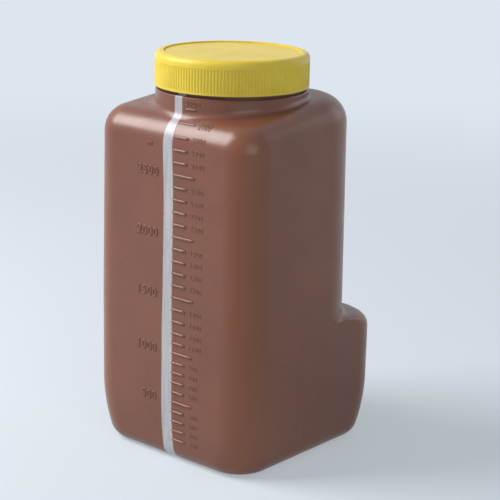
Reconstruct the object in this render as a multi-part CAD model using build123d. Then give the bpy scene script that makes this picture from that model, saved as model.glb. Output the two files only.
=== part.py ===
"""Wide-mouth specimen container with a graduated face, a view stripe and a ribbed screw cap.

Millimetres. The origin is under the middle of the outside size, on the surface that the container
stands on. +Z is up and -Y is the graduated front. The neck stands forward of the middle, because the
lower body reaches further back as a foot.
"""
from build123d import *

import os
from math import cos, pi, radians, sin, sqrt, tan

os.makedirs("parts", exist_ok=True)

# ---- blown body -------------------------------------------------------------------------------
BODY_WIDTH = 129.0
FRONT_REACH = 57.5        # neck axis to the front wall
UPPER_REACH = 57.0        # neck axis to the rear wall above the foot
FOOT_REACH = 74.3         # neck axis to the rear wall of the foot
FRONT_CORNER = 20.5
UPPER_CORNER = 36.8
FOOT_CORNER = 21.0
WALL = 1.2

BASE_EDGE = 10.5          # radius between the base and the walls
TUCK = 3.5                # how far the walls draw in towards the base
TUCK_CORNER = 9.0         # how much rounder the corners grow towards the base
TUCK_HEIGHT = 40.5        # the walls are upright from here
PUSH_UP = 2.6             # hollow under the base
STANDING_RIM = 9.0        # flat band round the hollow, which the container stands on
PUSH_UP_CORNER = 14.0
PUSH_UP_SLOPE = 45.0      # degrees

FOOT_TOP = 82.8
FOOT_EDGE = 10.5          # height of the round edge of the foot
STEP_FILLET = 5.0         # hollow between the foot and the wall above it
TURN_STEPS = 6            # bands in each quarter turn of the step
UPRIGHT_STRETCH = 12.2    # above the step, before the walls lean in
DRAFT = 0.6               # degrees

SHOULDER_TOP = 217.8      # at the neck axis
SHOULDER_SLOPE = 6.5      # degrees, rising to the rear
SHOULDER_EDGE = 16.0

# ---- neck finish ------------------------------------------------------------------------------
FINISH_RADIUS = 43.0      # wall that carries the thread
FINISH_WALL = 2.2
FINISH_HEIGHT = 19.2      # from the collar to the lip
LIP_EDGE = 0.5
COLLAR_STEP = 3.2         # how far the collar stands out from the finish
COLLAR_HEIGHT = 6.2       # above the shoulder at the neck axis
COLLAR_EDGE = 0.6
COLLAR_ROOT = 1.5         # hollow where the collar rises from the shoulder
ROOF_RISE = 2.2           # inside, the collar closes in to the mouth over this height

# ---- view stripe and graduations --------------------------------------------------------------
STRIPE_WIDTH = 8.2
NECK_STRIPE_WIDTH = 5.8   # the wall was stretched less at the neck
STRIPE_CENTRE = 1.0       # to the right of the neck axis
STRIPE_UNDER = 18.0       # how far it runs in under the front edge

MARK_FIRST = 14.9         # height of the 100 ml mark
MARK_TOP_GAP = 12.0       # the last mark is at least this far under the shoulder
MARK_VOLUME = 100000.0    # cubic millimetres between marks
MARKS_PER_LONG = 5
MARK_SHORT = 10.5
MARK_LONG = 16.5
MARK_THICK = 0.9
MARK_PROUD = 0.45
MARK_GAP = 0.6            # bare strip between the stripe and the marks

# ---- screw cap and its liner ------------------------------------------------------------------
CAP_WALL = 1.5            # skirt, from the bore to the crests of the ribs
CAP_EDGE = 3.6
SKIRT_GAP = 2.1           # between the collar and the skirt
PANEL_THICK = 1.2
PANEL_RECESS = 0.8
PANEL_RIM = 5.2           # width of the raised rim round the panel
THREAD_ROOM = 2.2         # between the finish wall and the bore, shared by both threads
RIB_COUNT = 148
RIB_DEPTH = 0.55
RIB_GROOVE = 1.7          # width of a groove at the outside
RIB_TOP_BAND = 5.4        # plain above the ribs
RIB_FOOT_BAND = 1.5       # plain below the ribs

LINER_THICK = 1.2
LINER_CLEARANCE = 0.1     # above and below the liner
LINER_SIDE_CLEARANCE = 0.6

OVERCUT = 1.0             # how far a cut runs past the face that it opens
SAME = 0.01               # two places nearer than this are one

# ---- worked out from the above ----------------------------------------------------------------
CENTRE_SHIFT = (FRONT_REACH + MARK_PROUD - FOOT_REACH) / 2
NECK_AXIS = Pos(0, CENTRE_SHIFT, 0)
STEP = FOOT_REACH - UPPER_REACH
FOOT_STRAIGHT_TOP = FOOT_TOP - FOOT_EDGE
STEP_TOP = FOOT_TOP + STEP_FILLET
DRAFT_START = STEP_TOP + UPRIGHT_STRETCH
SLOPE = radians(SHOULDER_SLOPE)
COLLAR_RADIUS = FINISH_RADIUS + COLLAR_STEP
COLLAR_START = SHOULDER_TOP - SHOULDER_EDGE
COLLAR_TOP = SHOULDER_TOP + COLLAR_HEIGHT
LIP_HEIGHT = COLLAR_TOP + FINISH_HEIGHT
MOUTH_RADIUS = FINISH_RADIUS - FINISH_WALL
LINER_BOTTOM = LIP_HEIGHT + LINER_CLEARANCE
PANEL_BOTTOM = LINER_BOTTOM + LINER_THICK + LINER_CLEARANCE
CAP_BOTTOM = COLLAR_TOP + SKIRT_GAP
CAP_TOP = PANEL_BOTTOM + PANEL_THICK + PANEL_RECESS
BORE_RADIUS = FINISH_RADIUS + THREAD_ROOM
CAP_RADIUS = BORE_RADIUS + CAP_WALL


def plan(rear, inset, front_corner, rear_corner):
    """Outline of the body in plan, drawn in by inset all round, with its own corner radii."""
    width = BODY_WIDTH - 2 * inset
    depth = FRONT_REACH + rear - 2 * inset
    outline = Pos(0, (rear - FRONT_REACH) / 2) * Rectangle(width, depth)
    outline = fillet(outline.vertices().sort_by(Axis.Y)[:2], front_corner)
    return fillet(outline.vertices().sort_by(Axis.Y)[-2:], rear_corner)


def foot_plan(skin):
    """Plan of the lower body, inside a wall of thickness skin."""
    return plan(FOOT_REACH, skin, FRONT_CORNER - skin, FOOT_CORNER - skin)


def upper_plan(skin):
    """Plan of the body above the foot, inside a wall of thickness skin."""
    return plan(UPPER_REACH, skin, FRONT_CORNER - skin, UPPER_CORNER - skin)


def upright(outline, low, high):
    """Straight stretch of wall."""
    return extrude(Pos(0, 0, low) * outline, high - low)


def disc(radius, low, high):
    """Cylinder about the neck axis."""
    return upright(Circle(radius), low, high)


def tuck_share(height):
    """From 0 where the walls are upright to 1 at the base."""
    return max(0.0, 1 - height / TUCK_HEIGHT) ** 2


def base_ring(height, skin):
    """Outline at one height of the tucked-in bottom."""
    share = tuck_share(height)
    inset = skin + TUCK * share
    rounder = TUCK_CORNER * share - inset
    return Pos(0, 0, height) * plan(FOOT_REACH, inset, FRONT_CORNER + rounder, FOOT_CORNER + rounder)


def base_form(skin):
    """Tucked-in bottom with its round edge."""
    heights = (skin, (skin + TUCK_HEIGHT) / 2, TUCK_HEIGHT)
    form = loft([base_ring(height, skin) for height in heights])
    floor_edges = form.faces().sort_by(Axis.Z)[0].edges()
    return fillet(floor_edges, BASE_EDGE - skin)


def step_ring(setback, height, skin):
    """Outline at one height of the step: the further in its rear wall, the rounder its corners."""
    corner = FOOT_CORNER + (UPPER_CORNER - FOOT_CORNER) * setback / STEP
    return Pos(0, 0, height) * plan(FOOT_REACH - setback, skin, FRONT_CORNER - skin, corner - skin)


def middle_form(skin):
    """Foot with a round top, the hollow that turns up from it, and the upright wall above."""
    reach = STEP - STEP_FILLET - skin
    rise = FOOT_EDGE - skin
    hollow = STEP_FILLET + skin
    turns = [pi / 2 * part / TURN_STEPS for part in range(TURN_STEPS + 1)]
    rings = [step_ring(0, TUCK_HEIGHT, skin)]
    for turn in turns:
        rings.append(step_ring(reach * (1 - cos(turn)), FOOT_STRAIGHT_TOP + rise * sin(turn), skin))
    for turn in turns[1:]:
        rings.append(step_ring(STEP - hollow * (1 - sin(turn)), STEP_TOP - hollow * cos(turn), skin))
    rings.append(step_ring(STEP, DRAFT_START, skin))
    return loft(rings, ruled=True)


def upper_form(skin):
    """Walls that lean in a little, under a round shoulder that rises to the rear."""
    roof = Plane(origin=(0, 0, SHOULDER_TOP), z_dir=(0, -sin(SLOPE), cos(SLOPE))).offset(-skin)
    highest = SHOULDER_TOP + UPPER_REACH * tan(SLOPE)
    walls = extrude(Pos(0, 0, DRAFT_START) * upper_plan(skin), highest - DRAFT_START, taper=DRAFT)
    walls = split(walls, bisect_by=roof, keep=Keep.BOTTOM)
    return fillet(walls.faces().sort_by(Axis.Z)[-1].edges(), SHOULDER_EDGE - skin)


def push_up(skin):
    """Hollow under the base, with sloping sides, thickened by skin."""
    inset = TUCK + BASE_EDGE + STANDING_RIM - skin
    outline = plan(FOOT_REACH, inset, PUSH_UP_CORNER, PUSH_UP_CORNER)
    return extrude(outline, PUSH_UP + skin, taper=PUSH_UP_SLOPE)


def body_outside():
    """Blown body, collar and finish as one closed form."""
    collar = disc(COLLAR_RADIUS, COLLAR_START, COLLAR_TOP)
    collar = chamfer(collar.edges().sort_by(Axis.Z)[-1], COLLAR_EDGE)
    crown = upper_form(0) + collar
    crown = fillet(collar_root(crown), COLLAR_ROOT)
    finish = disc(FINISH_RADIUS, COLLAR_TOP - COLLAR_EDGE, LIP_HEIGHT)
    finish = chamfer(finish.edges().sort_by(Axis.Z)[-1], LIP_EDGE)
    return base_form(0) + middle_form(0) + crown + finish - push_up(0)


def collar_root(form):
    """Edges where the collar meets the shoulder."""
    roots = []
    for edge in form.edges():
        middle = edge @ 0.5
        on_collar = abs(Vector(middle.X, middle.Y).length - COLLAR_RADIUS) < SAME
        if on_collar and edge.bounding_box().max.Z < COLLAR_TOP - COLLAR_EDGE - SAME:
            roots.append(edge)
    return roots


def body_cavity():
    """Space inside the body, up through the collar and the mouth."""
    inside = base_form(WALL) + middle_form(WALL) + upper_form(WALL) - push_up(WALL)
    roof = COLLAR_TOP - WALL - ROOF_RISE
    collar = disc(COLLAR_RADIUS - WALL, COLLAR_START, roof)
    cone = Pos(0, 0, roof) * Cone(
        COLLAR_RADIUS - WALL, MOUTH_RADIUS, ROOF_RISE, align=(Align.CENTER, Align.CENTER, Align.MIN)
    )
    mouth = disc(MOUTH_RADIUS, COLLAR_START, LIP_HEIGHT + OVERCUT)
    return inside + collar + cone + mouth


def mark_height(number):
    """Height of a graduation: equal volumes, so wider spaced above the foot."""
    foot_rise = MARK_VOLUME / foot_plan(WALL).area
    upper_rise = MARK_VOLUME / upper_plan(WALL).area
    in_foot = min(number, 1 + round((FOOT_TOP - MARK_FIRST) / foot_rise))
    return MARK_FIRST + (in_foot - 1) * foot_rise + (number - in_foot) * upper_rise


def front_at(height):
    """How far the front wall stands from the neck axis, round the shoulder too."""
    lean = max(0.0, height - DRAFT_START) * tan(radians(DRAFT))
    wall = FRONT_REACH - TUCK * tuck_share(height) - lean
    turn_start = SHOULDER_TOP - (wall - SHOULDER_EDGE) * tan(SLOPE) - SHOULDER_EDGE / cos(SLOPE)
    rise = max(0.0, height - turn_start)
    return wall - SHOULDER_EDGE + sqrt(SHOULDER_EDGE ** 2 - rise ** 2)


def graduations():
    """Raised marks beside the view stripe, a longer one at every fifth."""
    left = STRIPE_CENTRE + STRIPE_WIDTH / 2 + MARK_GAP
    marks = []
    number = 1
    while mark_height(number) < SHOULDER_TOP - MARK_TOP_GAP:
        length = MARK_LONG if number % MARKS_PER_LONG == 0 else MARK_SHORT
        height = mark_height(number)
        bar = Box(length, MARK_PROUD + WALL / 2, MARK_THICK, align=(Align.MIN, Align.MIN, Align.CENTER))
        marks.append(Pos(left, -front_at(height) - MARK_PROUD, height) * bar)
        number += 1
    return marks


def stripe_block():
    """The slab that the view stripe takes out of the front wall, the neck and the base."""
    side = STRIPE_WIDTH / 2
    neck_side = NECK_STRIPE_WIDTH / 2
    half = [(0, BASE_EDGE), (side, BASE_EDGE), (side, COLLAR_START), (neck_side, SHOULDER_TOP)]
    half += [(neck_side, LIP_HEIGHT + OVERCUT), (0, LIP_HEIGHT + OVERCUT)]
    wall = make_face(Polyline(*half, close=True))
    wall = Pos(STRIPE_CENTRE, 0) * (wall + mirror(wall, Plane.YZ))
    base = Pos(STRIPE_CENTRE, (BASE_EDGE - OVERCUT) / 2) * Rectangle(STRIPE_WIDTH, BASE_EDGE + OVERCUT)
    near = Plane.XZ.offset(FRONT_REACH + OVERCUT)
    through_neck = OVERCUT + FRONT_REACH - MOUTH_RADIUS + OVERCUT
    return extrude(near * wall, -through_neck) + extrude(near * base, -(OVERCUT + STRIPE_UNDER))


def rib_grooves():
    """V grooves round the skirt, which leave the ribs between them."""
    root = CAP_RADIUS - RIB_DEPTH
    side = RIB_GROOVE / 2
    notch = make_face(Polyline((root, 0), (CAP_RADIUS, side), (CAP_RADIUS, -side), close=True))
    groove = upright(notch, CAP_BOTTOM + RIB_FOOT_BAND, CAP_TOP - RIB_TOP_BAND)
    return [spot * groove for spot in PolarLocations(0, RIB_COUNT)]


def screw_cap():
    """Ribbed skirt, round top edge and a panel set down inside a rim."""
    blank = disc(CAP_RADIUS, CAP_BOTTOM, CAP_TOP)
    blank = fillet(blank.edges().sort_by(Axis.Z)[-1], CAP_EDGE)
    bore = disc(BORE_RADIUS, CAP_BOTTOM - OVERCUT, PANEL_BOTTOM)
    panel = disc(CAP_RADIUS - PANEL_RIM, CAP_TOP - PANEL_RECESS, CAP_TOP)
    return blank - bore - panel - rib_grooves()


def cap_liner():
    """Flat sealing disc that lies loose in the cap, on the lip of the mouth."""
    return disc(BORE_RADIUS - LINER_SIDE_CLEARANCE, LINER_BOTTOM, LINER_BOTTOM + LINER_THICK)


def save(shape, name):
    """Write one piece, moved from the neck axis to the container's own origin."""
    export_step(NECK_AXIS * shape, "parts/" + name + ".step")


shell = body_outside() - body_cavity()
stripe = stripe_block()
save((shell - stripe) + graduations(), "container_body")
save(shell & stripe, "view_stripe")
save(screw_cap(), "screw_cap")
save(cap_liner(), "cap_liner")
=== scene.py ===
"""Looks of the specimen container: moulded plastics, threads, raised numbers, camera and studio."""

from math import cos, pi, radians, sin

import bmesh
import bpy
from mathutils import Matrix, Vector
from mathutils.bvhtree import BVHTree


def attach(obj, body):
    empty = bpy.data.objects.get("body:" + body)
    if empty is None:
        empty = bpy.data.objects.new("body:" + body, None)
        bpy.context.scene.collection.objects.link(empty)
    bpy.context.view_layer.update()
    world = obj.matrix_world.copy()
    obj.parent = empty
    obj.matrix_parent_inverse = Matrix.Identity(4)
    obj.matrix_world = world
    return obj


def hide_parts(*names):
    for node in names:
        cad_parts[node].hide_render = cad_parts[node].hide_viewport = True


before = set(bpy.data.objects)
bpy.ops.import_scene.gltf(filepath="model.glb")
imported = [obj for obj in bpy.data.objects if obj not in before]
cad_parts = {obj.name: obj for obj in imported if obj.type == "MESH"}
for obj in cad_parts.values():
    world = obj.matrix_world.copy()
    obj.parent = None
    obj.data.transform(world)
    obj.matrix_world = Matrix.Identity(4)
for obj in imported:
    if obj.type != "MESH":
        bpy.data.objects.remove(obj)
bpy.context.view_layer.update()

MM = 0.001

# ---- sizes of the solids that the looks are set against, mm ------------------------------------
NECK_Y = -8.175           # the neck axis, in front of the middle
FINISH_RADIUS = 43.0
COLLAR_RADIUS = 46.2
COLLAR_TOP = 224.0
BORE_RADIUS = 45.2
IN_FRONT = -200.0         # well in front of the container
OVERHEAD = 400.0          # well above it

# ---- how triangles are joined and shaded -------------------------------------------------------
SAME_CORNER = 0.002       # corners of a solid's triangles nearer than this, mm, are one
SAME_POINT = 0.005        # and so are points of a made piece
CREASE = radians(40)      # faces that meet more sharply than this keep their edge
RAISED_CREASE = radians(50)
RIDGE_CREASE = radians(35)

# ---- graduation marks, mm ----------------------------------------------------------------------
FIRST_MARK = 14.9         # height of the 100 ml mark
MARKS_IN_FOOT = 12        # marks that have the closer spacing of the wider foot
FOOT_SPACING = 6.229
UPPER_SPACING = 7.414
LAST_MARK = 30
MARKS_PER_LONG = 5
MARK_LEFT = 5.5           # from the neck axis
MARK_SHORT_RIGHT = 16.4
MARK_LONG_RIGHT = 22.4
NECK_MARK_RIGHT = 12.0    # the topmost mark is on the collar
BEAD_RADIUS = 0.77        # the round bar whose outer part shows as the mark
BEAD_SUNK = 0.17          # its middle is this far inside the wall
BEAD_END = 0.3            # the bar closes in over this length
BEAD_END_SIZE = 0.45      # to this share of its radius
BEAD_SIDES = 16
BEAD_POINTS = 9

# ---- numbers raised on the wall, mm ------------------------------------------------------------
SMALL_HEIGHT = 3.1
SMALL_DIGIT = 2.55        # from one digit to the next
SMALL_LEFT = 19.6
LARGE_HEIGHT = 5.6
LARGE_DIGIT = 4.3
LARGE_RIGHT = -6.2
NECK_NUMBER_LEFT = 4.6
NECK_NUMBER_RISE = 3.6    # the topmost number stands over its mark
UNIT_RIGHT = -10.4        # the unit stands over the large numbers
UNIT_HEIGHT = 196.0
TEXT_SIZE = 1.42          # text of this size has digits that are 1 high
RAISED_SHARE = 0.085      # of the letter height
EDGE_SHARE = 0.07         # how round the letters are
THIN_SHARE = 0.03         # drawn thinner, because the round edge makes them stout again

# ---- view stripe, mm: the clear resin runs out a little past the solid's own edges -------------
STRIPE_LOW = 4.15         # half its width by the foot
STRIPE_HIGH = 3.7         # half its width above the foot
STRIPE_NECK = 2.9         # half its width at the neck
STRIPE_X = 2.0            # its middle, to the right of the neck axis
STRIPE_DRIFT = 1.4        # it drifts left by this much towards the shoulder
STRIPE_NECK_DRIFT = 1.3   # and by this much more on the way to the neck
STRIPE_BLUR = 0.45
STRIPE_BACK = -47.0       # it is only in what lies in front of this
FOOT_NARROWS = (84.0, 106.0)    # heights between which each of these goes on
NECK_NARROWS = (200.0, 216.0)
WALL_DRIFTS = (160.0, 200.0)
NECK_DRIFTS = (200.0, 219.0)
STREAK_STRETCH = 0.06     # the streaks' width over their length

# ---- where the corners of the front are thin, mm: the share grows between the two places, and with it the painted glow of light through the wall ---
THIN_ASIDE = (40.0, 57.0)
THIN_FORWARD = (-62.0, -44.0)

# ---- round hollow where the collar rises from the shoulder, mm ---------------------------------
ROOT_REACH = 4.4
ROOT_SHARE = 0.62         # no more than this share of the collar's height
ROOT_SAMPLES = (0.6, 0.9, 1.2)  # the shoulder is felt at these shares of the reach
ROOT_SUNK = 0.4           # its hidden corner is this far inside the wall
ROOT_STEPS = 10
ROOT_TURNS = 240

# ---- screw threads, mm -------------------------------------------------------------------------
PITCH = 6.0
NECK_THREAD_TURNS = 1.6
NECK_THREAD_START = 229.6
CAP_THREAD_TURNS = 1.5
CAP_THREAD_START = 232.6
RIDGE_DEPTH = 1.35
RIDGE_SUNK = 0.3
RIDGE_ROOT = 2.6
RIDGE_CREST = 0.9
RIDGE_FADE = 0.11         # share of the length that each end takes to run out
RIDGE_END_SIZE = 0.12     # to this share of its section
RIDGE_STEPS = 96          # in a turn

# ---- colours -----------------------------------------------------------------------------------
BROWN_DARK = "#744637"
BROWN_LIGHT = "#7F4E3C"
# painted glow: a warmer brown standing in for light shining through the thin front corners
BROWN_THIN_GLOW = "#824C33"
CLEAR_DARK = "#A5A2A8"
CLEAR_LIGHT = "#BAB7BC"
YELLOW_DARK = "#DDC13F"
YELLOW_LIGHT = "#E7CD49"
FOAM_DARK = "#E6E5DE"
FOAM_LIGHT = "#F1F0EA"
PALE = "#DDE6EE"
SKY = "#E2E6EA"

# ---- studio: the floor keeps its shadows near the container and fades into the backdrop --------
FLOOR_SIZE = 12.0         # metres
FLOOR_NEAR = 250.0        # mm
FLOOR_FAR = 1400.0        # mm
FLOOR_LIFT = 0.45         # share of the backdrop in the floor up to FLOOR_NEAR
SKY_LIGHT = 0.30
LAMP_AIM = Vector((0, 0, 0.12))
LAMPS = (                 # name, place in metres, size in metres, power in watts, linear colour
    ("key_left", (-0.80, -0.66, 0.98), 0.80, 21.5, (1.0, 0.98, 0.96)),
    ("fill_right", (1.7, -0.9, 0.8), 1.2, 8.0, (0.95, 1.0, 0.86)),
    ("fill_back", (0.7, 1.8, 1.0), 1.2, 4.0, (1.0, 1.0, 1.0)),
)

# ---- camera ------------------------------------------------------------------------------------
AZIMUTH = radians(40.57)
PITCH_DOWN = radians(15.21)
ROLL = radians(1.22)
DISTANCE = 966.4
LENS = 112.1
AIM = Vector((0.0, NECK_Y, 123.75))
AIM_RIGHT = 12.98         # the view's middle lies this far right of the aim, and below it
AIM_DOWN = 1.38

# ---- sockets of a Mix node that mixes colours --------------------------------------------------
MIX_SHARE, MIX_UNDER, MIX_OVER, MIXED = 0, 6, 7, 2


def linear(hex_colour):
    """sRGB hex to the linear RGBA that the shaders take."""
    values = [int(hex_colour[start:start + 2], 16) / 255 for start in (1, 3, 5)]
    return [v / 12.92 if v <= 0.04045 else ((v + 0.055) / 1.055) ** 2.4 for v in values] + [1.0]


def add_node(tree, kind, settings=None, inputs=None):
    """Add a node, set its properties, and give its inputs a value or a link."""
    node = tree.nodes.new(kind)
    for name, value in (settings or {}).items():
        setattr(node, name, value)
    for key, value in (inputs or {}).items():
        if isinstance(value, bpy.types.NodeSocket):
            tree.links.new(value, node.inputs[key])
        else:
            node.inputs[key].default_value = value
    return node


def put_in_scene(name, data):
    """An object that holds this data."""
    thing = bpy.data.objects.new(name, data)
    bpy.context.scene.collection.objects.link(thing)
    return thing


# ================================================================================================
# Materials
# ================================================================================================
def start_material(name):
    """An empty material with its output, and Object coordinates to pattern it by."""
    material = bpy.data.materials.new(name)
    material.use_nodes = True
    tree = material.node_tree
    tree.nodes.clear()
    output = add_node(tree, "ShaderNodeOutputMaterial")
    place = add_node(tree, "ShaderNodeTexCoord").outputs["Object"]
    return material, tree, output, place


def clouds(tree, place, size, low, high, detail=3.0):
    """Number that drifts between low and high, in clouds about size mm across."""
    texture = add_node(tree, "ShaderNodeTexNoise", inputs={
        "Vector": place, "Scale": 1 / (size * MM), "Detail": detail,
    })
    return add_node(tree, "ShaderNodeMapRange", inputs={
        "Value": texture.outputs["Fac"], "From Min": 0.3, "From Max": 0.7, "To Min": low, "To Max": high,
    }).outputs["Result"]


def relief(tree, place, layers):
    """Normal of a skin with layers of bump, each of (size in mm, detail, depth in mm)."""
    skin = {}
    for size, detail, depth in layers:
        texture = add_node(tree, "ShaderNodeTexNoise", inputs={
            "Vector": place, "Scale": 1 / (size * MM), "Detail": detail,
        })
        layer = add_node(tree, "ShaderNodeBump", inputs=skin | {
            "Height": texture.outputs["Fac"], "Strength": 1.0, "Distance": depth * MM,
        })
        skin = {"Normal": layer.outputs["Normal"]}
    return skin["Normal"]


def stripe_share(tree, place):
    """1 where the resin is clear and 0 where it is brown, with the soft edge of two flows that met."""
    axes = add_node(tree, "ShaderNodeSeparateXYZ", inputs={"Vector": place}).outputs
    sizes = []
    for (start, end), low, high in (
        (FOOT_NARROWS, STRIPE_LOW, STRIPE_HIGH),
        (NECK_NARROWS, 0.0, STRIPE_HIGH - STRIPE_NECK),
        (WALL_DRIFTS, STRIPE_X, STRIPE_X - STRIPE_DRIFT),
        (NECK_DRIFTS, 0.0, STRIPE_NECK_DRIFT),
    ):
        step = add_node(tree, "ShaderNodeMapRange", {"interpolation_type": "SMOOTHSTEP"}, {
            "Value": axes["Z"], "From Min": start * MM, "From Max": end * MM,
            "To Min": low * MM, "To Max": high * MM,
        })
        sizes.append(step.outputs["Result"])
    half = add_node(tree, "ShaderNodeMath", {"operation": "SUBTRACT"}, {0: sizes[0], 1: sizes[1]})
    middle = add_node(tree, "ShaderNodeMath", {"operation": "SUBTRACT"}, {0: sizes[2], 1: sizes[3]})
    aside = add_node(tree, "ShaderNodeMath", {"operation": "SUBTRACT"}, {
        0: axes["X"], 1: middle.outputs[0],
    })
    off = add_node(tree, "ShaderNodeMath", {"operation": "ABSOLUTE"}, {0: aside.outputs[0]})
    past = add_node(tree, "ShaderNodeMath", {"operation": "SUBTRACT"}, {
        0: off.outputs[0], 1: half.outputs[0],
    })
    inside = []
    for value, start, end in (
        (past.outputs[0], -STRIPE_BLUR, STRIPE_BLUR),
        (axes["Y"], STRIPE_BACK - 1, STRIPE_BACK),
    ):
        step = add_node(tree, "ShaderNodeMapRange", {"interpolation_type": "SMOOTHSTEP"}, {
            "Value": value, "From Min": start * MM, "From Max": end * MM, "To Min": 1.0, "To Max": 0.0,
        })
        inside.append(step.outputs["Result"])
    share = add_node(tree, "ShaderNodeMath", {"operation": "MULTIPLY"}, {0: inside[0], 1: inside[1]})
    return share.outputs[0]


def thin_corner_glow_share(tree, place):
    """1 at the front upright corners, where the blown wall is thinnest and the warmer colour paints the
    glow of light shining through it.
    """
    axes = add_node(tree, "ShaderNodeSeparateXYZ", inputs={"Vector": place}).outputs
    aside = add_node(tree, "ShaderNodeMath", {"operation": "ABSOLUTE"}, {0: axes["X"]})
    near = []
    for value, (start, end), low, high in (
        (aside.outputs[0], THIN_ASIDE, 0.0, 1.0),
        (axes["Y"], THIN_FORWARD, 1.0, 0.0),
    ):
        step = add_node(tree, "ShaderNodeMapRange", {"interpolation_type": "SMOOTHSTEP"}, {
            "Value": value, "From Min": start * MM, "From Max": end * MM, "To Min": low, "To Max": high,
        })
        near.append(step.outputs["Result"])
    share = add_node(tree, "ShaderNodeMath", {"operation": "MULTIPLY"}, {0: near[0], 1: near[1]})
    return share.outputs[0]


def blown_polyethylene():
    """High-density polyethylene, extrusion blow moulded in a blasted mould.

    Brown all through, with a painted glow at the thin front corners: a warmer brown standing in for light
    shining through the thin wall. One stripe of uncoloured resin is let into the front, streaked along
    the flow. The cooling wall sinks in soft waves 34 mm apart, and its satin skin ripples every 4 mm.
    The mould's blasting is about 0.1 mm, too fine to show, so it is
    """
    material, tree, output, place = start_material("blow_moulded_polyethylene")
    flow = add_node(tree, "ShaderNodeMapping", inputs={
        "Vector": place, "Scale": (1.0, 1.0, STREAK_STRETCH),
    })
    clear = add_node(tree, "ShaderNodeMix", {"data_type": "RGBA"}, {
        MIX_SHARE: clouds(tree, flow.outputs["Vector"], 1.6, 0, 1),
        MIX_UNDER: linear(CLEAR_DARK), MIX_OVER: linear(CLEAR_LIGHT),
    })
    colour = linear(BROWN_DARK)
    for share, over in (
        (clouds(tree, place, 45, 0, 1), linear(BROWN_LIGHT)),
        # painted glow of light shining through the thin front corners
        (thin_corner_glow_share(tree, place), linear(BROWN_THIN_GLOW)),
        (stripe_share(tree, place), clear.outputs[MIXED]),
    ):
        colour = add_node(tree, "ShaderNodeMix", {"data_type": "RGBA"}, {
            MIX_SHARE: share, MIX_UNDER: colour, MIX_OVER: over,
        }).outputs[MIXED]
    shader = add_node(tree, "ShaderNodeBsdfPrincipled", inputs={
        "Base Color": colour, "Roughness": clouds(tree, place, 12, 0.27, 0.35),
        "IOR": 1.54, "Specular IOR Level": 0.42,
        "Normal": relief(tree, place, [(34, 1.0, 0.30), (4.0, 0.0, 0.018), (1.6, 0.0, 0.003)]),
    })
    tree.links.new(shader.outputs["BSDF"], output.inputs["Surface"])
    return material


def yellow_polypropylene():
    """Polypropylene, yellow all through, injection moulded in a finely eroded mould.

    An even satin, a little waxy, that sinks by a hair in patches of 16 mm. The eroded grain is
    about 0.05 mm, too fine to show, so it is drawn at 1.2 mm.
    """
    material, tree, output, place = start_material("injection_moulded_yellow_polypropylene")
    colour = add_node(tree, "ShaderNodeMix", {"data_type": "RGBA"}, {
        MIX_SHARE: clouds(tree, place, 22, 0, 1),
        MIX_UNDER: linear(YELLOW_DARK), MIX_OVER: linear(YELLOW_LIGHT),
    })
    shader = add_node(tree, "ShaderNodeBsdfPrincipled", inputs={
        "Base Color": colour.outputs[MIXED], "Roughness": clouds(tree, place, 10, 0.33, 0.42),
        "IOR": 1.49, "Specular IOR Level": 0.38,
        "Normal": relief(tree, place, [(16, 1.0, 0.05), (1.2, 1.0, 0.006)]),
        "Subsurface Weight": 0.08, "Subsurface Radius": (1.0, 0.8, 0.2), "Subsurface Scale": 0.0015,
    })
    tree.links.new(shader.outputs["BSDF"], output.inputs["Surface"])
    return material


def foamed_liner():
    """Closed-cell polyethylene foam sheet, die cut: soft and white, with cells of 0.8 mm."""
    material, tree, output, place = start_material("foamed_polyethylene_liner")
    cells = add_node(tree, "ShaderNodeTexVoronoi", inputs={"Vector": place, "Scale": 1 / (0.8 * MM)})
    pitted = add_node(tree, "ShaderNodeBump", inputs={
        "Height": cells.outputs["Distance"], "Strength": 1.0, "Distance": 0.06 * MM,
    })
    colour = add_node(tree, "ShaderNodeMix", {"data_type": "RGBA"}, {
        MIX_SHARE: clouds(tree, place, 6, 0, 1, detail=2.0),
        MIX_UNDER: linear(FOAM_DARK), MIX_OVER: linear(FOAM_LIGHT),
    })
    shader = add_node(tree, "ShaderNodeBsdfPrincipled", inputs={
        "Base Color": colour.outputs[MIXED], "Roughness": 0.7, "IOR": 1.5,
        "Normal": pitted.outputs["Normal"],
    })
    tree.links.new(shader.outputs["BSDF"], output.inputs["Surface"])
    return material


# ================================================================================================
# Pieces
# ================================================================================================
def give_material(piece, material):
    """One material all over a piece."""
    piece.data.materials.clear()
    piece.data.materials.append(material)


def smoothed_copy(node_name, name):
    """A copy of a solid with its loose triangles joined at their corners.

    Each corner's shading normal is the mean of those that meet there within the crease angle, so
    that the bands of a round stretch run into one another and the flat faces stay flat.
    """
    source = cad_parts[node_name].data
    places, numbers, faces, normals = {}, [], [], []
    for vertex in source.vertices:
        key = tuple(round(value / (SAME_CORNER * MM)) for value in vertex.co)
        numbers.append(places.setdefault(key, (len(places), vertex.co.copy()))[0])
    for polygon in source.polygons:
        face = [numbers[index] for index in polygon.vertices]
        if len(set(face)) == len(face):
            faces.append(face)
            normals.append([source.corner_normals[loop].vector.copy() for loop in polygon.loop_indices])
    points = [place for number, place in places.values()]
    mesh = bpy.data.meshes.new(name)
    mesh.from_pydata(points, [], faces)
    around = {}
    for face, corners in zip(faces, normals):
        for position, index in enumerate(face):
            before = points[face[position - 1]] - points[index]
            after = points[face[(position + 1) % len(face)]] - points[index]
            opening = before.angle(after, 0.0)
            around.setdefault(index, []).append((corners[position], opening))
    shading = []
    for face, corners in zip(faces, normals):
        for position, index in enumerate(face):
            own = corners[position]
            near = [normal * share for normal, share in around[index] if own.dot(normal) > cos(CREASE)]
            shading.append(sum(near, Vector()).normalized())
    mesh.shade_smooth()
    mesh.normals_split_custom_set(shading)
    return put_in_scene(name, mesh)


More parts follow.
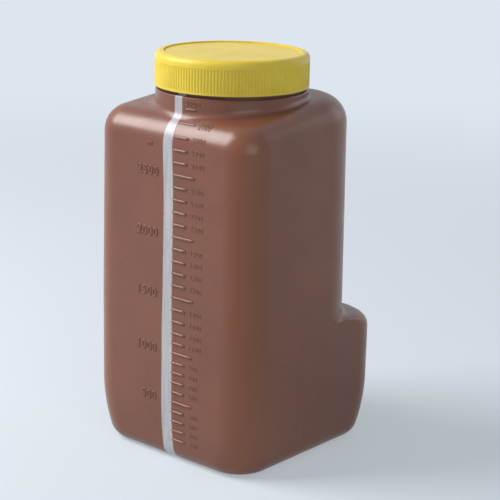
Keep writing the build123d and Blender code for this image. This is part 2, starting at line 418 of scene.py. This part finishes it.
class Wall:
    """The outside of the container, found by looking at it from the front or from above."""

    def __init__(self, *node_names):
        self.trees = []
        for name in node_names:
            shape = bmesh.new()
            shape.from_mesh(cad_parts[name].data)
            self.trees.append(BVHTree.FromBMesh(shape))
            shape.free()

    def at(self, across, up):
        """Point and outward normal of the front, mm across from the neck axis and up from the floor."""
        start = Vector((across, IN_FRONT, up)) * MM
        hits = [tree.ray_cast(start, Vector((0, 1, 0))) for tree in self.trees]
        hits = [hit for hit in hits if hit[0] is not None]
        nearest = min(hits, key=lambda hit: hit[3])
        return nearest[0], nearest[1]

    def from_above(self, across, back):
        """Height in mm of the highest surface, at a place in mm from the neck axis."""
        start = Vector((across, back + NECK_Y, OVERHEAD)) * MM
        hits = [tree.ray_cast(start, Vector((0, 0, -1))) for tree in self.trees]
        return max(hit[0].z for hit in hits if hit[0] is not None) / MM


def closed_piece(mesh, name, sharp):
    """An object from a mesh, with its doubles joined, faces outward and edges sharp past an angle."""
    shape = bmesh.new()
    shape.from_mesh(mesh)
    bmesh.ops.remove_doubles(shape, verts=shape.verts, dist=SAME_POINT * MM)
    bmesh.ops.recalc_face_normals(shape, faces=shape.faces)
    shape.to_mesh(mesh)
    shape.free()
    mesh.shade_smooth()
    mesh.set_sharp_from_angle(angle=sharp)
    return put_in_scene(name, mesh)


# ---- numbers -----------------------------------------------------------------------------------
def mark_height(number):
    """Height of a graduation in mm."""
    in_foot = min(number, MARKS_IN_FOOT)
    return FIRST_MARK + (in_foot - 1) * FOOT_SPACING + (number - in_foot) * UPPER_SPACING


def letters(text, height, advance):
    """Flat-lying mesh of a text, with its signs advance mm apart: (vertices in mm, faces)."""
    vertices, faces = [], []
    for place, sign in enumerate(text):
        curve = bpy.data.curves.new("sign", "FONT")
        curve.body = sign
        curve.size = height * TEXT_SIZE
        curve.align_x = "CENTER"
        curve.extrude = (RAISED_SHARE - EDGE_SHARE) * height
        curve.bevel_depth = EDGE_SHARE * height
        curve.offset = -THIN_SHARE * height
        curve.bevel_resolution = 2
        curve.resolution_u = 3
        source = put_in_scene("sign", curve)
        bpy.context.view_layer.update()
        mesh = bpy.data.meshes.new_from_object(source.evaluated_get(bpy.context.evaluated_depsgraph_get()))
        first = len(vertices)
        middle = (place + 0.5) * advance
        vertices += [Vector((v.co.x + middle, v.co.y, v.co.z)) for v in mesh.vertices]
        faces += [[first + corner for corner in polygon.vertices] for polygon in mesh.polygons]
        bpy.data.objects.remove(source)
        bpy.data.meshes.remove(mesh)
        bpy.data.curves.remove(curve)
    return vertices, faces


def lay_on_wall(wall, labels, name):
    """One piece from labels of (text, left end in mm, height in mm, letter height, advance)."""
    vertices, faces = [], []
    for text, left, up, height, advance in labels:
        flat, flat_faces = letters(text, height, advance)
        first = len(vertices)
        for point in flat:
            spot, normal = wall.at(left + point.x, up + point.y - height / 2)
            vertices.append(spot + normal * point.z * MM)
        faces += [[first + corner for corner in face] for face in flat_faces]
    mesh = bpy.data.meshes.new(name)
    mesh.from_pydata(vertices, [], faces)
    return closed_piece(mesh, name, RAISED_CREASE)


def small_labels():
    """A number right of every mark but the long ones, and the topmost over its mark."""
    rows = []
    for number in range(1, LAST_MARK):
        if number % MARKS_PER_LONG:
            rows.append((str(number * 100), SMALL_LEFT, mark_height(number), SMALL_HEIGHT, SMALL_DIGIT))
    top = mark_height(LAST_MARK) + NECK_NUMBER_RISE
    rows.append((str(LAST_MARK * 100), NECK_NUMBER_LEFT, top, SMALL_HEIGHT, SMALL_DIGIT))
    return rows


def large_labels():
    """A larger number left of the stripe, level with every long mark, and the unit over them."""
    rows = []
    for number in range(MARKS_PER_LONG, LAST_MARK, MARKS_PER_LONG):
        text = str(number * 100)
        left = LARGE_RIGHT - len(text) * LARGE_DIGIT
        rows.append((text, left, mark_height(number), LARGE_HEIGHT, LARGE_DIGIT))
    rows.append(("ml", UNIT_RIGHT - 2 * SMALL_DIGIT, UNIT_HEIGHT, SMALL_HEIGHT, SMALL_DIGIT))
    return rows


# ---- round hollow at the root of the collar ----------------------------------------------------
def shoulder_height(wall, turn, radius):
    """Height of the shoulder beyond the collar, carried on inwards to a radius, mm."""
    samples = [COLLAR_RADIUS + ROOT_REACH * share for share in ROOT_SAMPLES]
    heights = [wall.from_above(reach * cos(turn), reach * sin(turn)) for reach in samples]
    total = 0.0
    for i, height in enumerate(heights):
        share = 1.0
        for j, other in enumerate(samples):
            if i != j:
                share *= (radius - other) / (samples[i] - other)
        total += share * height
    return total


def collar_root(wall):
    """The round hollow between the collar and the sloping shoulder, as one closed-in band."""
    points, normals, faces = [], [], []
    for part in range(ROOT_TURNS):
        turn = 2 * pi * part / ROOT_TURNS
        foot = shoulder_height(wall, turn, COLLAR_RADIUS)
        reach = min(ROOT_REACH, (COLLAR_TOP - foot) * ROOT_SHARE)
        out = shoulder_height(wall, turn, COLLAR_RADIUS + reach)
        outward = Vector((cos(turn), sin(turn), 0))
        for step in range(ROOT_STEPS + 1):
            share = step / ROOT_STEPS
            radius = COLLAR_RADIUS + reach * share ** 2
            height = (1 - share) ** 2 * (foot + reach) + 2 * share * (1 - share) * foot + share ** 2 * out
            along = outward * (reach * share) + Vector((0, 0, (share - 1) * reach + share * (out - foot)))
            normal = Vector((-along.z * outward.x, -along.z * outward.y, along.dot(outward)))
            points.append((outward * radius + Vector((0, NECK_Y, height))) * MM)
            normals.append(normal.normalized())
        points.append((outward * (COLLAR_RADIUS - ROOT_SUNK) + Vector((0, NECK_Y, foot - ROOT_SUNK))) * MM)
        normals.append(-outward)
    row = ROOT_STEPS + 2
    for part in range(ROOT_TURNS):
        here, there = part * row, (part + 1) % ROOT_TURNS * row
        for step in range(row):
            after = (step + 1) % row
            faces.append((here + step, here + after, there + after, there + step))
    mesh = bpy.data.meshes.new("collar_root")
    mesh.from_pydata(points, [], faces)
    mesh.shade_smooth()
    mesh.normals_split_custom_set_from_vertices(normals)
    return put_in_scene("collar_root", mesh)


# ================================================================================================
# Marks and threads, by Geometry Nodes
# ================================================================================================
def start_group(name, inputs):
    """An empty tree with named inputs: (tree, outputs that give them, their identifiers)."""
    tree = bpy.data.node_groups.new(name, "GeometryNodeTree")
    identifiers = {}
    for label, kind in inputs.items():
        socket = tree.interface.new_socket(label, in_out="INPUT", socket_type="NodeSocket" + kind)
        identifiers[label] = socket.identifier
    tree.interface.new_socket("Geometry", in_out="OUTPUT", socket_type="NodeSocketGeometry")
    return tree, add_node(tree, "NodeGroupInput").outputs, identifiers


def end_group(tree, geometry, material):
    """End a tree in Realize Instances and Set Material."""
    real = add_node(tree, "GeometryNodeRealizeInstances", inputs={"Geometry": geometry})
    coloured = add_node(tree, "GeometryNodeSetMaterial", inputs={
        "Geometry": real.outputs["Geometry"], "Material": material,
    })
    add_node(tree, "NodeGroupOutput", inputs={"Geometry": coloured.outputs["Geometry"]})


def made_by_nodes(tree, identifiers, values, mesh):
    """Plain mesh of what a tree makes from a mesh and the values of its inputs."""
    source = put_in_scene("source", mesh)
    modifier = source.modifiers.new("nodes", "NODES")
    modifier.node_group = tree
    for label, value in values.items():
        modifier[identifiers[label]] = value
    bpy.context.view_layer.update()
    made = bpy.data.meshes.new_from_object(source.evaluated_get(bpy.context.evaluated_depsgraph_get()))
    source.modifiers.remove(modifier)
    bpy.data.objects.remove(source)
    return made


def bead_lines(wall):
    """Open lines along the marks, a little inside the wall."""
    points, edges = [], []
    for number in range(1, LAST_MARK + 1):
        right = MARK_LONG_RIGHT if number % MARKS_PER_LONG == 0 else MARK_SHORT_RIGHT
        right = NECK_MARK_RIGHT if number == LAST_MARK else right
        inner = [MARK_LEFT + (right - MARK_LEFT) * step / (BEAD_POINTS - 1) for step in range(BEAD_POINTS)]
        for across in [MARK_LEFT - BEAD_END] + inner + [right + BEAD_END]:
            spot, normal = wall.at(across, mark_height(number))
            points.append(spot - normal * BEAD_SUNK * MM)
            if across > MARK_LEFT - BEAD_END:
                edges.append((len(points) - 2, len(points) - 1))
    mesh = bpy.data.meshes.new("bead_lines")
    mesh.from_pydata(points, edges, [])
    return mesh


def bead_tree():
    """A round bar along each open line, closing in at its two ends."""
    tree, given, identifiers = start_group("raised_marks", {
        "Lines": "Geometry", "Radius": "Float", "End Size": "Float", "Sides": "Int", "Material": "Material",
    })
    lines = add_node(tree, "GeometryNodeMeshToCurve", inputs={"Mesh": given["Lines"]})
    ends = add_node(tree, "GeometryNodeCurveEndpointSelection")
    size = add_node(tree, "GeometryNodeSwitch", {"input_type": "FLOAT"}, {
        "Switch": ends.outputs["Selection"], "False": 1.0, "True": given["End Size"],
    })
    section = add_node(tree, "GeometryNodeCurvePrimitiveCircle", inputs={
        "Resolution": given["Sides"], "Radius": given["Radius"],
    })
    bars = add_node(tree, "GeometryNodeCurveToMesh", inputs={
        "Curve": lines.outputs["Curve"], "Profile Curve": section.outputs["Curve"],
        "Scale": size.outputs["Output"], "Fill Caps": True,
    })
    end_group(tree, bars.outputs["Mesh"], given["Material"])
    return tree, identifiers


def thread_tree():
    """One helical ridge with a trapezoid section that runs out at both ends."""
    tree, given, identifiers = start_group("thread_ridge", {
        "Radius": "Float", "Start": "Float", "Turns": "Float", "Pitch": "Float", "Depth": "Float",
        "Root": "Float", "Crest": "Float", "Fade": "Float", "End Size": "Float", "Steps": "Int",
        "Material": "Material",
    })
    rise = add_node(tree, "ShaderNodeMath", {"operation": "MULTIPLY"}, {
        0: given["Turns"], 1: given["Pitch"],
    })
    helix = add_node(tree, "GeometryNodeCurveSpiral", inputs={
        "Resolution": given["Steps"], "Rotations": given["Turns"], "Start Radius": given["Radius"],
        "End Radius": given["Radius"], "Height": rise.outputs[0], "Reverse": True,
    })
    lift = add_node(tree, "ShaderNodeCombineXYZ", inputs={"Z": given["Start"]})
    placed = add_node(tree, "GeometryNodeSetPosition", inputs={
        "Geometry": helix.outputs["Curve"], "Offset": lift.outputs["Vector"],
    })
    upright = add_node(tree, "GeometryNodeSetCurveNormal", {"mode": "Z_UP"}, {
        "Curve": placed.outputs["Geometry"],
    })
    along = add_node(tree, "GeometryNodeSplineParameter").outputs["Factor"]
    other_end = add_node(tree, "ShaderNodeMath", {"operation": "SUBTRACT"}, {0: 1.0, 1: along})
    nearer = add_node(tree, "ShaderNodeMath", {"operation": "MINIMUM"}, {
        0: along, 1: other_end.outputs[0],
    })
    fade = add_node(tree, "ShaderNodeMapRange", {"interpolation_type": "SMOOTHSTEP"}, {
        "Value": nearer.outputs[0], "From Max": given["Fade"], "To Min": given["End Size"],
    })
    section = add_node(tree, "GeometryNodeCurvePrimitiveQuadrilateral", {"mode": "TRAPEZOID"}, {
        "Height": given["Depth"], "Bottom Width": given["Root"], "Top Width": given["Crest"], "Offset": 0.0,
    })
    ridge = add_node(tree, "GeometryNodeCurveToMesh", inputs={
        "Curve": upright.outputs["Curve"], "Profile Curve": section.outputs["Curve"],
        "Scale": fade.outputs["Result"], "Fill Caps": True,
    })
    end_group(tree, ridge.outputs["Mesh"], given["Material"])
    return tree, identifiers


def thread(tree, identifiers, name, values):
    """A thread ridge about the neck axis."""
    mesh = made_by_nodes(tree, identifiers, values, bpy.data.meshes.new(name + "_source"))
    mesh.transform(Matrix.Translation((0, NECK_Y * MM, 0)))
    return closed_piece(mesh, name, RIDGE_CREASE)


# ================================================================================================
# Camera and studio
# ================================================================================================
def camera():
    """A long lens from the front right, looking down a little."""
    back = Vector((sin(AZIMUTH) * cos(PITCH_DOWN), -cos(AZIMUTH) * cos(PITCH_DOWN), sin(PITCH_DOWN)))
    sideways = Vector((cos(AZIMUTH), sin(AZIMUTH), 0))
    upward = back.cross(sideways)
    right = sideways * cos(ROLL) + upward * sin(ROLL)
    top = upward * cos(ROLL) - sideways * sin(ROLL)
    place = AIM + back * DISTANCE + right * AIM_RIGHT - top * AIM_DOWN
    data = bpy.data.cameras.new("view")
    data.lens = LENS
    data.clip_start = 0.05
    data.clip_end = 30
    seen_from = put_in_scene("view", data)
    turn = Matrix((right, top, back)).transposed().to_4x4()
    seen_from.matrix_world = Matrix.Translation(place * MM) @ turn
    bpy.context.scene.camera = seen_from


def soft_lamp(name, place, size, power, colour):
    """Square soft lamp that looks at the middle of the container."""
    data = bpy.data.lights.new(name, "AREA")
    data.size = size
    data.energy = power
    data.color = colour
    lamp = put_in_scene(name, data)
    lamp.location = place
    lamp.rotation_euler = (LAMP_AIM - Vector(place)).to_track_quat("-Z", "Y").to_euler()


def shown_and_light(tree, shown, light):
    """Mix two shaders: the first for what the camera, gloss and clear things see."""
    path = add_node(tree, "ShaderNodeLightPath").outputs
    first = add_node(tree, "ShaderNodeMath", {"operation": "MAXIMUM"}, {
        0: path["Is Camera Ray"], 1: path["Is Glossy Ray"],
    })
    seen = add_node(tree, "ShaderNodeMath", {"operation": "MAXIMUM"}, {
        0: first.outputs[0], 1: path["Is Transmission Ray"],
    })
    return add_node(tree, "ShaderNodeMixShader", inputs={0: seen.outputs[0], 1: light, 2: shown})


def backdrop():
    """Pale all round where it is seen, and a weak even light."""
    world = bpy.data.worlds.new("studio")
    bpy.context.scene.world = world
    world.use_nodes = True
    tree = world.node_tree
    tree.nodes.clear()
    shown = add_node(tree, "ShaderNodeBackground", inputs={"Color": linear(PALE), "Strength": 1.0})
    light = add_node(tree, "ShaderNodeBackground", inputs={"Color": linear(SKY), "Strength": SKY_LIGHT})
    mixed = shown_and_light(tree, shown.outputs[0], light.outputs[0])
    add_node(tree, "ShaderNodeOutputWorld", inputs={"Surface": mixed.outputs[0]})


def matt_board():
    """Pale matt-painted board, which fades into the backdrop away from the container."""
    material, tree, output, place = start_material("matt_painted_board")
    matt = add_node(tree, "ShaderNodeBsdfDiffuse", inputs={"Color": linear(PALE)})
    glow = add_node(tree, "ShaderNodeEmission", inputs={"Color": linear(PALE), "Strength": 1.0})
    away = add_node(tree, "ShaderNodeVectorMath", {"operation": "LENGTH"}, {0: place})
    even = add_node(tree, "ShaderNodeMapRange", {"interpolation_type": "SMOOTHSTEP"}, {
        "Value": away.outputs["Value"], "From Min": FLOOR_NEAR * MM, "From Max": FLOOR_FAR * MM,
        "To Min": FLOOR_LIFT, "To Max": 1.0,
    })
    lifted = add_node(tree, "ShaderNodeMixShader", inputs={
        0: even.outputs["Result"], 1: matt.outputs[0], 2: glow.outputs[0],
    })
    mixed = shown_and_light(tree, lifted.outputs[0], matt.outputs[0])
    tree.links.new(mixed.outputs[0], output.inputs["Surface"])
    return material


def studio():
    """Pale floor and backdrop, one strong lamp high on the left, and weak ones right and behind."""
    backdrop()
    bpy.ops.mesh.primitive_plane_add(size=FLOOR_SIZE)
    floor = bpy.context.object
    floor.name = "floor"
    give_material(floor, matt_board())
    for lamp in LAMPS:
        soft_lamp(*lamp)


# ================================================================================================
# Put together
# ================================================================================================
camera()
studio()

polyethylene = blown_polyethylene()
polypropylene = yellow_polypropylene()

for node, name, body, slot, material in (
    ("container_body", "moulded_body", "container", "brown_wall", polyethylene),
    ("view_stripe", "moulded_stripe", "container", "clear_stripe", polyethylene),
    ("screw_cap", "ribbed_cap", "cap", "yellow_cap", polypropylene),
):
    copy = smoothed_copy(node, name)
    give_material(copy, material)
    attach(copy, body)
    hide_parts(node)

give_material(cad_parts["cap_liner"], foamed_liner())

front = Wall("container_body", "view_stripe")
bead_nodes, bead_inputs = bead_tree()
beads = made_by_nodes(bead_nodes, bead_inputs, {
    "Radius": BEAD_RADIUS * MM, "End Size": BEAD_END_SIZE, "Sides": BEAD_SIDES, "Material": polyethylene,
}, bead_lines(front))
for piece in (
    lay_on_wall(front, small_labels(), "small_numbers"),
    lay_on_wall(front, large_labels(), "large_numbers"),
    closed_piece(beads, "raised_marks", RAISED_CREASE),
    collar_root(front),
):
    give_material(piece, polyethylene)
    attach(piece, "container")

ridge_nodes, ridge_inputs = thread_tree()
ridge = {
    "Pitch": PITCH * MM, "Depth": RIDGE_DEPTH * MM, "Root": RIDGE_ROOT * MM, "Crest": RIDGE_CREST * MM,
    "Fade": RIDGE_FADE, "End Size": RIDGE_END_SIZE, "Steps": RIDGE_STEPS,
}
neck_thread = thread(ridge_nodes, ridge_inputs, "neck_thread", ridge | {
    "Radius": (FINISH_RADIUS - RIDGE_SUNK + RIDGE_DEPTH / 2) * MM, "Start": NECK_THREAD_START * MM,
    "Turns": NECK_THREAD_TURNS, "Material": polyethylene,
})
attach(neck_thread, "container")

cap_thread = thread(ridge_nodes, ridge_inputs, "cap_thread", ridge | {
    "Radius": (BORE_RADIUS + RIDGE_SUNK - RIDGE_DEPTH / 2) * MM, "Start": CAP_THREAD_START * MM,
    "Turns": CAP_THREAD_TURNS, "Material": polypropylene,
})
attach(cap_thread, "cap")

bpy.context.scene.view_settings.view_transform = "Standard"
